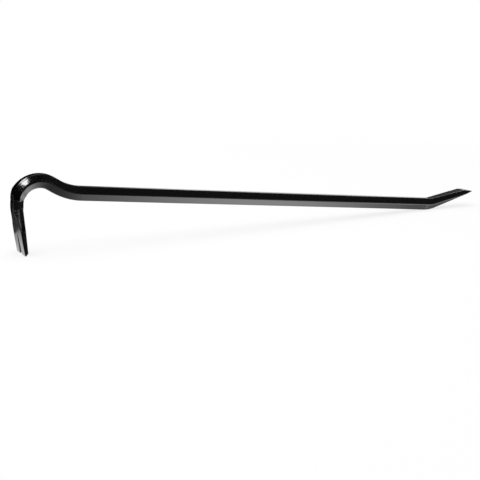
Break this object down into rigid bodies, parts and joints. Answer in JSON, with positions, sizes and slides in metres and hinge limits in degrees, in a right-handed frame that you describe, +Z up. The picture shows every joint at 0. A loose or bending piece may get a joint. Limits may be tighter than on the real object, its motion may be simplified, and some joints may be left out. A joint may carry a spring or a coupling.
{
  "type": "gooseneck wrecking bar",
  "caption": "Black lacquered hexagonal steel wrecking bar with a gooseneck nail claw at one end and a bent chisel blade at the other.",
  "frame": {"origin": "on the floor under the middle of the bar's overall length, in its plane of symmetry; the bar stands on the claw tips and the heel of the chisel end", "axes": "+Z up, +X towards the chisel end, -X towards the nail claw, +Y across the bar; the XZ plane is the plane of symmetry"},
  "size_m": [0.746, 0.037, 0.1008],
  "materials": {
    "shaft_lacquer": "gloss black lacquer over hot rolled hexagon",
    "gooseneck_lacquer": "gloss black lacquer over forged steel",
    "claw_lacquer": "gloss black lacquer over forged and ground steel",
    "heel_lacquer": "gloss black lacquer over forged steel",
    "blade_lacquer": "gloss black lacquer over forged and ground steel"
  },
  "bodies": {
    "root": {"hex_shaft": "shaft_lacquer", "gooseneck_bend": "gooseneck_lacquer", "nail_claw": "claw_lacquer", "heel_bend": "heel_lacquer", "chisel_blade": "blade_lacquer"}
  },
  "joints": []
}
